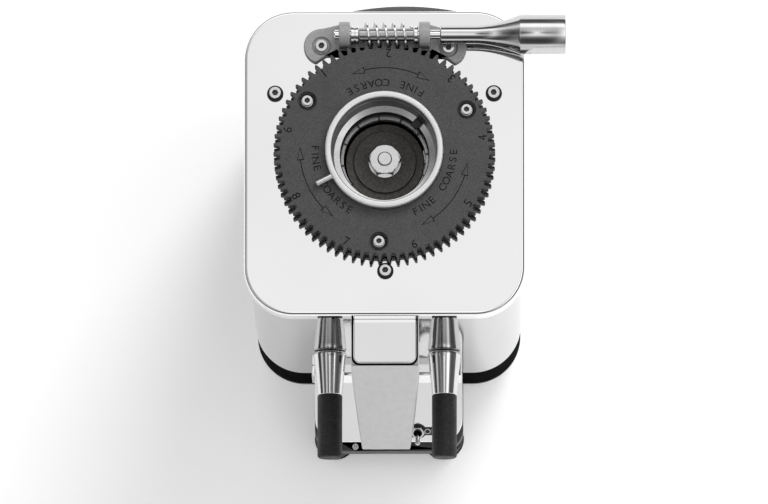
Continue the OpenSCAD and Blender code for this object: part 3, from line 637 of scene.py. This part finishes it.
# three closed outlines: the curved line and its two open heads, tips at either end
def arrowOutlines(marks):
    r = marks["arrowRadius"]
    half = math.radians(marks["arrowHalfSpan"])
    root = half - marks["headLength"] / r
    line, corner, slit = marks["arrowLine"] / 2, marks["headWidth"] / 2, marks["headSlit"]
    steps = marks["arrowSteps"]
    reach = root - marks["headGap"] / r
    sweep = [reach * (2 * i / steps - 1) for i in range(steps + 1)]
    shapes = [[(r + line, a) for a in sweep] + [(r - line, a) for a in reversed(sweep)]]
    tip, base = half - marks["headTip"] / r, root + marks["arrowLine"] / r
    shrink = corner * (1 - (marks["headTip"] + marks["arrowLine"]) / marks["headLength"])
    outer = [(r + corner, root), (r, half), (r - corner, root), (r - slit, root)]
    inner = [(r - slit, base), (r - shrink, base), (r, tip)]
    inner += [(r + shrink, base), (r + slit, base), (r + slit, root)]
    for side in (1, -1):
        shapes.append([(radius, side * a) for radius, a in outer + inner])
    return [[(radius * math.sin(a), radius * math.cos(a)) for radius, a in shape] for shape in shapes]


def gearCutter():
    work = bmesh.new()
    depth = gearMarks["depth"]

    def stamp(text, size, angle, radius):
        mesh = letterMesh(text, size, depth)
        mesh.transform(markFrame(angle, radius))
        work.from_mesh(mesh)
        bpy.data.meshes.remove(mesh)

    for i in range(gearMarks["numbers"]):
        angle = gearMarks["firstNumberAngle"] + gearMarks["numberStep"] * i
        stamp(str(i + 1), gearMarks["numberSize"], angle, gearMarks["numberRadius"])
    letterStep = math.degrees(gearMarks["letterPitch"] / gearMarks["wordRadius"])
    narrow = gearMarks["narrowLetter"]
    for group in gearMarks["groupAngles"]:
        for word, side in (("FINE", 1), ("COARSE", -1)):
            shares = [narrow if letter == "I" else 1 for letter in word]
            angle = group + side * gearMarks["wordSpread"] + sum(shares) / 2 * letterStep
            for letter, share in zip(word, shares):
                stamp(letter, gearMarks["wordSize"], angle - share / 2 * letterStep, gearMarks["wordRadius"])
                angle -= share * letterStep
        turn = Matrix.Rotation(-math.radians(group), 4, "Z")
        for outline in arrowOutlines(gearMarks):
            prism(work, outline, depth, Matrix.Translation(burrAxis + Vector((0, 0, gearTop))) @ turn)
    bmesh.ops.remove_doubles(work, verts=work.verts, dist=seam)
    bmesh.ops.recalc_face_normals(work, faces=work.faces)
    return meshFrom(work, "gearCutter")


def makeGear():
    mesh = cleanCopy("adjusting_gear")
    smoothFaces(mesh)
    mesh.materials.append(finishes["gearCast"])
    mesh.materials.append(finishes["engravingShade"])
    gear = addPiece("adjusting_gear_piece", mesh, "adjusting_gear", "gearCast")
    breakEdges(gear, gearMarks["edge"], 2)
    bakeModifiers(gear)
    cutterMesh = gearCutter()
    cutterMesh.materials.append(finishes["gearCast"])
    cutterMesh.materials.append(finishes["engravingShade"])
    # the cutter's faces carry the near-black painted shade into the cuts
    cutterMesh.polygons.foreach_set("material_index", [1] * len(cutterMesh.polygons))
    cutter = bpy.data.objects.new("gearCutter", cutterMesh)
    scene.collection.objects.link(cutter)
    cut = gear.modifiers.new("marks", "BOOLEAN")
    cut.operation = "DIFFERENCE"
    cut.solver = "EXACT"
    cut.object = cutter
    cut.use_self = False
    bakeModifiers(gear)
    bpy.data.objects.remove(cutter)
    smoothFaces(gear.data, crease["cut"])
    bakeModifiers(gear)


makeGear()
print("gear cut")


# fork arms and their sleeves

forkArm = {
    "studLength": 14.0,
    "studRadius": 4.0,
    "studChamfer": 0.6,
    "flangeRadius": 10.2,
    "flangeRound": 1.6,
    "flangeWidth": 2.6,
    "neckRadius": 7.65,
    "neckEdge": 0.4,
    "coneLength": 27.0,
    "conePower": 0.92,
    "coneSteps": 14,
    "coreRadius": 4.5,
    "coreLength": 37.0,
    "sleeveLength": 39.0,
    "sleeveRadius": 7.65,
    "sleeveMouth": 0.5,
    "sleeveEnd": 1.6,
    "sleeveTaper": (0.25, 0.6),  # where along it the sleeve starts and stops narrowing
    "sleeveGap": 0.15,
    "sleeveFit": 0.05,
    "around": 128,
}


# the steel cone, from its stud inside the body out to the core that holds the sleeve
def armProfile():
    stud, studRadius, chamfer = (forkArm[k] for k in ("studLength", "studRadius", "studChamfer"))
    flange, rounding, width = (forkArm[k] for k in ("flangeRadius", "flangeRound", "flangeWidth"))
    neck, edge, cone = (forkArm[k] for k in ("neckRadius", "neckEdge", "coneLength"))
    core, end = forkArm["coreRadius"], cone + forkArm["coreLength"]
    steps = forkArm["coneSteps"]
    profile = [(0, -stud), (studRadius - chamfer, -stud), (studRadius, chamfer - stud), (studRadius, 0.0)]
    profile += [(flange - rounding, 0.0)] + roundCorner((flange - rounding, rounding), rounding, -90, 0)
    for i in range(steps + 1):
        t = i / steps
        radius = flange + (neck - flange) * (t ** forkArm["conePower"])
        profile.append((radius, width + (cone - edge - width) * t))
    return profile + [(neck - edge, cone), (core, cone), (core, end), (0, end)]


def sleeveProfile():
    length, radius, end = (forkArm[k] for k in ("sleeveLength", "sleeveRadius", "sleeveEnd"))
    mouth, gap, fit = (forkArm[k] for k in ("sleeveMouth", "sleeveGap", "sleeveFit"))
    profile = [(forkArm["coreRadius"] + fit, gap), (radius - mouth, gap)]
    profile += roundCorner((radius - mouth, gap + mouth), mouth, -90, 0, 3)
    taperFrom, taperTo = (length * share for share in forkArm["sleeveTaper"])
    profile += [(radius, taperFrom), (radius - fit, taperTo)]
    profile += roundCorner((radius - end, length - end), end, 0, 90, 6)
    return profile + [(0, length)]


def makeForkArm(side):
    armNode, sleeveNode = side + "_fork_arm", side + "_fork_sleeve"
    armLow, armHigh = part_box(armNode)
    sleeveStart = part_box(sleeveNode)[1].y
    sleeveRoot = Vector(((armLow.x + armHigh.x) / 2, sleeveStart, (armLow.z + armHigh.z) / 2))
    armRoot = sleeveRoot + Vector((0, forkArm["coneLength"] * mm, 0))
    arm = turnedMesh(armNode, armProfile(), armRoot, "-y", forkArm["around"])
    sleeve = turnedMesh(sleeveNode, sleeveProfile(), sleeveRoot, "-y", forkArm["around"])
    addPiece(armNode + "_piece", arm, armNode, "armSteel")
    addPiece(sleeveNode + "_piece", sleeve, sleeveNode, "sleeveRubber")


for side in ("left", "right"):
    makeForkArm(side)
print("fork arms made")


# worm and knob

worm = {
    "coreRadius": 4.1,
    "shaftRadius": 3.0,
    "shaftChamfer": 0.6,
    "around": 64,
    "leftShoulder": -20.4,
    "rightShoulder": 20.7,
    "shoulderRadius": 5.6,
    "shoulderEdge": 0.4,
    "leftSlope": 0.5,
    "rightSlope": 0.2,
    "leftLength": 4.9,
    "rightLength": 2.7,
    "grooveDepth": 0.5,
    "grooveFrom": 2.0,
    "grooveSlope": 0.3,
    "grooveFloor": 0.4,
    "tipRadius": 7.6,
    "lead": 5.4957,
    "firstTurn": -2.5,
    "turns": 5.6,
    "runOut": 0.25,
    "rootSunk": 0.5,
    "rootHalf": 0.95,
    "tipHalf": 0.55,
    "tipRound": 0.35,
    "tipFlank": 0.08,
    "tipInset": 0.12,
    "startHeight": 0.15,
    "stepsPerTurn": 72,
    "valleyRise": 0.4,
    "valleyFrom": -15.2,
    "valleyTo": 18.0,
}


def wormShaftMesh():
    low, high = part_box("worm_shaft")
    leftEnd, rightEnd = (low.x - burrAxis.x) / mm, (high.x - burrAxis.x) / mm
    left, right = worm["leftShoulder"], worm["rightShoulder"]
    core, shaft, chamfer = (worm[k] for k in ("coreRadius", "shaftRadius", "shaftChamfer"))
    big, edge = worm["shoulderRadius"], worm["shoulderEdge"]
    leftStop, rightStop = left + worm["leftLength"], right - worm["rightLength"]
    grooveStart, floor = left + worm["grooveFrom"], big - worm["grooveDepth"]
    floorStart = grooveStart + worm["grooveSlope"]
    floorEnd = floorStart + worm["grooveFloor"]
    profile = [(0, leftEnd), (shaft - chamfer, leftEnd), (shaft, leftEnd + chamfer), (shaft, left)]
    profile += [(big - edge, left), (big, left + edge), (big, grooveStart), (floor, floorStart)]
    profile += [(floor, floorEnd), (big, floorEnd + worm["grooveSlope"]), (big, leftStop - edge)]
    profile += [(big - edge, leftStop), (core, leftStop + worm["leftSlope"])]
    profile += [(core, rightStop - worm["rightSlope"])]
    profile += [(big - edge, rightStop), (big, rightStop + edge), (big, right - edge), (big - edge, right)]
    profile += [(shaft, right), (shaft, rightEnd), (0, rightEnd)]
    return turnedMesh("wormShaft", profile, wormCentre, "x", worm["around"])


# one-start thread that fades in and out over its first and last quarter turn
def addThread(work):
    foot, tip, half = worm["coreRadius"] - worm["rootSunk"], worm["tipRadius"], worm["tipHalf"]
    side = [(-worm["rootHalf"], foot), (-half - worm["tipFlank"], tip - worm["tipRound"])]
    side.append((worm["tipInset"] - half, tip))
    section = side + [(-dx, r) for dx, r in reversed(side)]
    steps = worm["stepsPerTurn"]
    count = round(worm["turns"] * steps)
    fade = steps * worm["runOut"]
    start = worm["startHeight"]
    rings = []
    for i in range(count + 1):
        a = math.pi + 2 * math.pi * i / steps
        x = (worm["firstTurn"] + i / steps) * worm["lead"]
        grow = start + (1 - start) * min(1.0, i / fade, (count - i) / fade)
        ring = []
        for dx, r in section:
            height = foot + (r - foot) * grow
            spot = Vector(((x + dx) * mm, height * mm * math.cos(a), height * mm * math.sin(a)))
            ring.append(work.verts.new(wormCentre + spot))
        rings.append(ring)
    for one, two in zip(rings, rings[1:]):
        for k in range(len(section)):
            n = (k + 1) % len(section)
            work.faces.new((one[k], one[n], two[n], two[k]))
    work.faces.new(rings[0][::-1])
    work.faces.new(rings[-1])


def makeWorm():
    mesh = wormShaftMesh()
    work = bmesh.new()
    work.from_mesh(mesh)
    addThread(work)
    bmesh.ops.recalc_face_normals(work, faces=work.faces)
    work.to_mesh(mesh)
    work.free()
    smoothFaces(mesh, crease["cut"])
    mesh.materials.append(finishes["wormSteel"])
    mesh.materials.append(finishes["wormValleyShade"])
    # painted shade: faces near the core between the thread turns get the darker copy of the steel
    for face in mesh.polygons:
        away = face.center - wormCentre
        low = away.yz.length < (worm["coreRadius"] + worm["valleyRise"]) * mm
        if low and worm["valleyFrom"] * mm < away.x < worm["valleyTo"] * mm:
            face.material_index = 1
    addPiece("worm_shaft_piece", mesh, "worm_shaft", "wormSteel")


knob = {
    "neckRadius": 5.5,
    "barrelRadius": 12.2,
    "neckLength": 20.5,
    "flareLength": 28.0,
    "flarePower": 1.8,
    "flareSteps": 22,
    "waistFrom": 0.8,
    "waistDepth": 0.012,
    "boreRadius": 3.05,
    "boreDepth": 14.0,
    "neckEdge": 0.6,
    "barrelStep": 0.35,
    "chamfer": 1.0,
    "chamferBulge": (0.3, 0.25),  # its middle point, as shares of it inwards and back
    "dimpleRadius": 2.2,
    "dimpleDepth": 1.32,
    "around": 160,
}


def makeKnob():
    low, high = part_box("adjusting_knob")
    start = (low.x - burrAxis.x) / mm
    end = (high.x - burrAxis.x) / mm
    neck, barrel, edge = knob["neckRadius"], knob["barrelRadius"], knob["chamfer"]
    bore, neckEdge = knob["boreRadius"], knob["neckEdge"]
    flareStart = start + knob["neckLength"]
    flareEnd = flareStart + knob["flareLength"]
    profile = [(bore, start + knob["boreDepth"]), (bore, start)]
    profile += [(neck - neckEdge, start), (neck, start + neckEdge)]
    steps, waist = knob["flareSteps"], knob["waistFrom"]
    for i in range(steps + 1):
        t = i / steps
        rise = t ** knob["flarePower"]
        if t > waist:
            rise -= knob["waistDepth"] * ((t - waist) / (1 - waist)) ** 2
        profile.append((neck + (barrel - neck) * rise, flareStart + (flareEnd - flareStart) * t))
    profile += [(barrel, flareEnd + knob["barrelStep"]), (barrel, end - edge)]
    inwards, back = knob["chamferBulge"]
    profile += [(barrel - edge * inwards, end - edge * back), (barrel - edge, end)]
    profile += [(knob["dimpleRadius"], end), (0, end - knob["dimpleDepth"])]
    mesh = turnedMesh("adjustingKnob", profile, wormCentre, "x", knob["around"])
    addPiece("adjusting_knob_piece", mesh, "adjusting_knob", "knobSteel")


makeWorm()
makeKnob()
print("worm and knob made")


# hopper collar, which carries the upper burr

collar = {
    "rimRadius": 36.0,
    "boreRadius": 32.0,
    "rimRound": 1.1,
    "ledgeRise": 8.0,
    "grooveDepth": 0.5,
    "grooveRise": 1.8,
    "grooveSlope": 0.3,
    "grooveWidth": 1.0,
    "throatRadius": 26.7,
    "throatEdge": 0.3,
    "throatSlope": 0.8,
    "throatDrop": 5.2,
    "burrGap": 0.01,
    "pocketRadius": 32.03,
    "threadRadius": 39.95,
    "flangeRadius": 60.0,
    "flangeEdge": 0.4,
    "flangeLift": 1.0,
    "seatSteps": ((1.2, 11.0), (4.7, 12.15), (4.9, 12.4)),  # wall, seat and lip, as (inwards, downwards)
    "seatFrom": 27.0,
    "boreTo": 32.3,
    "throatTo": 27.2,
    "seatUpright": 0.5,
    "around": 192,
}


def collarProfile(ledge):
    low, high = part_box("upper_burr_carrier")
    top, bottom = high.z / mm, low.z / mm
    rim, bore, rounding = (collar[k] for k in ("rimRadius", "boreRadius", "rimRound"))
    throat, pocket, thread = (collar[k] for k in ("throatRadius", "pocketRadius", "threadRadius"))
    flange, edge = collar["flangeRadius"], collar["flangeEdge"]
    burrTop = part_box("upper_burr")[1].z / mm + collar["burrGap"]
    gearLow = gearBox[0].z / mm
    flangeLow = plateTop / mm + collar["flangeLift"]
    profile = [(throat, burrTop), (pocket, burrTop), (pocket, bottom), (thread, bottom), (thread, flangeLow)]
    profile += [(flange - edge, flangeLow), (flange, flangeLow + edge), (flange, gearLow - edge)]
    profile += [(flange - edge, gearLow), (rim, gearLow)]
    profile += roundCorner((rim - rounding, top - rounding), rounding, 0, 90)
    profile += roundCorner((bore + rounding, top - rounding), rounding, 90, 180)
    grooveLow = ledge + collar["grooveRise"]
    grooveHigh = grooveLow + 2 * collar["grooveSlope"] + collar["grooveWidth"]
    floor = bore + collar["grooveDepth"]
    profile += [(bore, grooveHigh), (floor, grooveHigh - collar["grooveSlope"])]
    profile += [(floor, grooveLow + collar["grooveSlope"]), (bore, grooveLow), (bore, ledge)]
    profile += [(bore - drop, ledge - fall) for drop, fall in collar["seatSteps"]]
    throatTop = plateTop / mm - collar["throatDrop"]
    profile += [(throat + collar["throatEdge"], throatTop), (throat, throatTop - collar["throatSlope"])]
    return profile + [(throat, burrTop)]


def makeCollar():
    ledge = plateTop / mm + collar["ledgeRise"]
    mesh = turnedMesh("hopperCollar", collarProfile(ledge), burrAxis, "z", collar["around"])
    looks = ("collarFaced", "seatSatinPaintedLight", "boreSatinPaintedShade", "paintedRecessShade")
    for finish in looks:
        mesh.materials.append(finishes[finish])
    seatLow = ledge - collar["seatSteps"][-1][1]
    for face in mesh.polygons:
        reach = (face.center - burrAxis).xy.length / mm
        height = face.center.z / mm
        # painted shade: the throat below the seat gets the dark finish; upward faces of the seat and bore
        # get the lighter copy as painted light, the upright walls the darker copy as painted shade
        if reach < collar["throatTo"] and height < seatLow:
            face.material_index = looks.index("paintedRecessShade")
        elif collar["seatFrom"] < reach < collar["boreTo"] and height > seatLow:
            upright = face.normal.z > collar["seatUpright"]
            face.material_index = looks.index("seatSatinPaintedLight" if upright else "boreSatinPaintedShade")
    addPiece("hopper_collar_piece", mesh, "upper_burr_carrier", "collarFaced")


makeCollar()
print("collar made")


# painted shade: dark blocks stand where the upper burr's feed ring has its slots, seen inside the collar's
# throat

feedSlotShade = {
    "count": 12,
    "innerRadius": 24.95,
    "outerRadius": 26.65,
    "width": 1.3,
    "deep": 3.0,
    "lift": 0.04,
    "turn": 8.0,
}


def makeFeedSlotShade():
    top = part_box("upper_burr")[1].z / mm + feedSlotShade["lift"]
    inner, outer, half = feedSlotShade["innerRadius"], feedSlotShade["outerRadius"], feedSlotShade["width"] / 2
    outline = [(inner, -half), (outer, -half), (outer, half), (inner, half)]
    deep = feedSlotShade["deep"] / 2
    work = bmesh.new()
    for i in range(feedSlotShade["count"]):
        turn = Matrix.Rotation(math.radians(feedSlotShade["turn"] + 360 * i / feedSlotShade["count"]), 4, "Z")
        prism(work, outline, deep, Matrix.Translation(burrAxis + Vector((0, 0, (top - deep) * mm))) @ turn)
    addExtra("feed_slot_shade", meshFrom(work, "feedSlotShade"), "paintedRecessShade", "upper_burr")


makeFeedSlotShade()
print("feed slot shade made")


# start button's spring

spring = {"turns": 3.0, "wire": 0.35, "radius": 4.4, "stepsPerTurn": 32}


def makeSpring():
    low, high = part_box("start_button_spring")
    middle = (low + high) / 2
    radius, wire = spring["radius"] * mm, spring["wire"] * mm
    length = high.y - low.y - 2 * wire
    curve = bpy.data.curves.new("startSpring", "CURVE")
    curve.dimensions = "3D"
    curve.bevel_depth = wire
    curve.bevel_resolution = 3
    path = curve.splines.new("POLY")
    steps = round(spring["turns"] * spring["stepsPerTurn"])
    path.points.add(steps)
    for i in range(steps + 1):
        a = 2 * math.pi * i / spring["stepsPerTurn"]
        spot = Vector((radius * math.cos(a), length * (i / steps - 0.5), radius * math.sin(a)))
        path.points[i].co = (*(middle + spot), 1)
    addPiece("start_button_spring_piece", curve, "start_button_spring", "screwBright")


makeSpring()
print("spring made")


# switch words

switchWords = {
    "size": 5.4,
    "thick": 0.02,
    "lift": 0.43,
    "spread": 8.6,
    "slopeRise": 33.0,
    "slopeRun": 38.0,
}


def makeSwitchWords():
    low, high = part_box("switch_label")
    slope = math.atan2(switchWords["slopeRise"], switchWords["slopeRun"])
    outward = Vector((0, -math.sin(slope), math.cos(slope))) * switchWords["lift"] * mm
    place = Matrix.Translation((low + high) / 2 + outward) @ Matrix.Rotation(slope, 4, "X")
    for word, side in (("OFF", 1), ("ON", -1)):
        mesh = letterMesh(word, switchWords["size"], switchWords["thick"])
        mesh.transform(place @ Matrix.Translation((side * switchWords["spread"] * mm, 0, 0)))
        addExtra("switch_word_" + word.lower(), mesh, "labelWhite", "switch_label")


makeSwitchWords()
print("switch words made")


# floor, light and camera

# the studio's brightness by direction, as (degrees from overhead, value)
skyBackward = (
    (-180, 0.5), (-122, 0.5), (-104, 0.55), (-86, 0.8), (-76, 0.95), (-70, 0.57), (-64, 0.1), (-50, 0.06),
    (-40, 0.07), (-33, 0.14), (-28, 0.22), (-22, 0.5), (-18, 0.95), (-12, 1.2), (3, 1.35), (8, 0.97),
    (12, 0.88), (16, 0.88), (26, 0.78), (32, 1.15), (38, 1.6), (51, 1.6), (57, 0.8), (62, 0.14), (70, 0.12),
    (82, 0.08), (88, 0.5), (95, 0.6), (180, 0.5),
)
skySideways = (
    (-180, 0.5), (-108, 0.4), (-92, 0.16), (-78, 0.04), (-70, 0.06), (-58, 0.85), (-50, 0.3), (-41, 0.05),
    (-33, 0.2), (-26, 1.0), (-19, 0.3), (-11, 0.03), (4, 0.06), (16, 0.5), (24, 1.7), (34, 1.7), (41, 0.3),
    (52, 0.1), (66, 0.1), (85, 0.17), (108, 0.45), (180, 0.5),
)

studio = {
    "floorHalf": 7.0,
    "floorTone": 0.93,
    "floorGlow": 0.3,
    "skyCentre": 0.003,
    "sunStrength": 1.15,
    "sunTurn": (-40.0, 28.0),
    "sunSpread": 24.0,
    "fillPlace": (0.45, 0.1, 0.72),
    "fillSize": 0.35,
    "fillPower": 0.85,
}


def makeFloor():
    work = bmesh.new()
    bmesh.ops.create_grid(work, x_segments=1, y_segments=1, size=studio["floorHalf"])
    mesh = meshFrom(work, "studioFloor")
    floor = bpy.data.objects.new("studioFloor", mesh)
    scene.collection.objects.link(floor)
    paper = newFinish("floorPaper", asColor(studio["floorTone"]), 0.0, 0.9)
    shaderOf(paper).inputs["Specular IOR Level"].default_value = 0.0
    shaderOf(paper).inputs["Emission Color"].default_value = (1, 1, 1, 1)
    shaderOf(paper).inputs["Emission Strength"].default_value = studio["floorGlow"]
    mesh.materials.append(paper)


# cards and gaps round the studio: one row of them from front to back, one from left to right
def makeWorld():
    world = bpy.data.worlds.new("studioWorld")
    world.use_nodes = True
    scene.world = world
    nodes, links = world.node_tree.nodes, world.node_tree.links
    coords = nodes.new("ShaderNodeTexCoord")
    split = nodes.new("ShaderNodeSeparateXYZ")
    links.new(coords.outputs["Generated"], split.inputs["Vector"])

    def compute(operation, *values):
        node = nodes.new("ShaderNodeMath")
        node.operation = operation
        for socket, value in zip(node.inputs, values):
            if isinstance(value, (int, float)):
                socket.default_value = value
            else:
                links.new(value, socket)
        return node.outputs[0]

    def brightnessOver(side, stops):
        angle = compute("ARCTAN2", side, split.outputs["Z"])
        place = compute("MULTIPLY_ADD", angle, 0.5 / math.pi, 0.5)
        rampNode = nodes.new("ShaderNodeValToRGB")
        ramp = rampNode.color_ramp
        links.new(place, rampNode.inputs["Fac"])
        for _ in stops[2:]:
            ramp.elements.new(0.5)
        for element, (degrees, value) in zip(ramp.elements, stops):
            element.position = degrees / 360 + 0.5
            element.color = (value, value, value, 1)
        return rampNode.outputs["Color"]

    backward = brightnessOver(split.outputs["Y"], skyBackward)
    sideways = brightnessOver(split.outputs["X"], skySideways)
    squareX = compute("MULTIPLY", split.outputs["X"], split.outputs["X"])
    squareY = compute("MULTIPLY", split.outputs["Y"], split.outputs["Y"])
    both = compute("ADD", compute("ADD", squareX, squareY), studio["skyCentre"])
    blend = nodes.new("ShaderNodeMix")
    blend.data_type = "RGBA"
    links.new(compute("DIVIDE", squareX, both), blend.inputs[0])
    links.new(backward, blend.inputs[mixFirst])
    links.new(sideways, blend.inputs[mixSecond])
    links.new(blend.outputs[mixResult], nodes["Background"].inputs["Color"])


def addLight(name, kind, power):
    light = bpy.data.lights.new(name, kind)
    light.energy = power
    holder = bpy.data.objects.new(name, light)
    holder.visible_camera = False
    holder.visible_glossy = False
    scene.collection.objects.link(holder)
    return holder


def makeLights():
    sun = addLight("softSun", "SUN", studio["sunStrength"])
    sun.data.angle = math.radians(studio["sunSpread"])
    sun.rotation_euler = [math.radians(turn) for turn in (*studio["sunTurn"], 0)]
    fill = addLight("rightFill", "AREA", studio["fillPower"])
    fill.data.size = studio["fillSize"]
    fill.location = studio["fillPlace"]
    fill.rotation_euler = (Vector((0, 0, plateTop)) - fill.location).to_track_quat("-Z", "Y").to_euler()


camera = {
    "elevation": 80.1,
    "azimuth": 3.5,
    "distance": 12.0,
    "lens": 925.7,
    "sensorWidth": 36.0,
    "farthest": 50.0,
    "aimBehindBurr": -0.06,  # along Y from the burr axis, at the plate
    "aimRight": -0.0003,
}


def makeCamera():
    elevation, azimuth = math.radians(camera["elevation"]), math.radians(camera["azimuth"])
    back = Vector((math.cos(elevation) * math.sin(azimuth), -math.cos(elevation) * math.cos(azimuth),
                   math.sin(elevation)))
    aim = Vector((burrAxis.x + camera["aimRight"], burrAxis.y + camera["aimBehindBurr"], plateTop))
    across = Vector((0, 1, 0)).cross(back).normalized()
    up = back.cross(across)
    data = bpy.data.cameras.new("studioCamera")
    data.lens = camera["lens"]
    data.sensor_width = camera["sensorWidth"]
    data.clip_end = camera["farthest"]
    holder = bpy.data.objects.new("studioCamera", data)
    holder.matrix_world = Matrix.Translation(aim + back * camera["distance"]) @ Matrix(
        (across, up, back)).transposed().to_4x4()
    scene.collection.objects.link(holder)
    scene.camera = holder


makeFloor()
makeWorld()
makeLights()
makeCamera()
scene.view_settings.view_transform = "Standard"
print("studio ready")
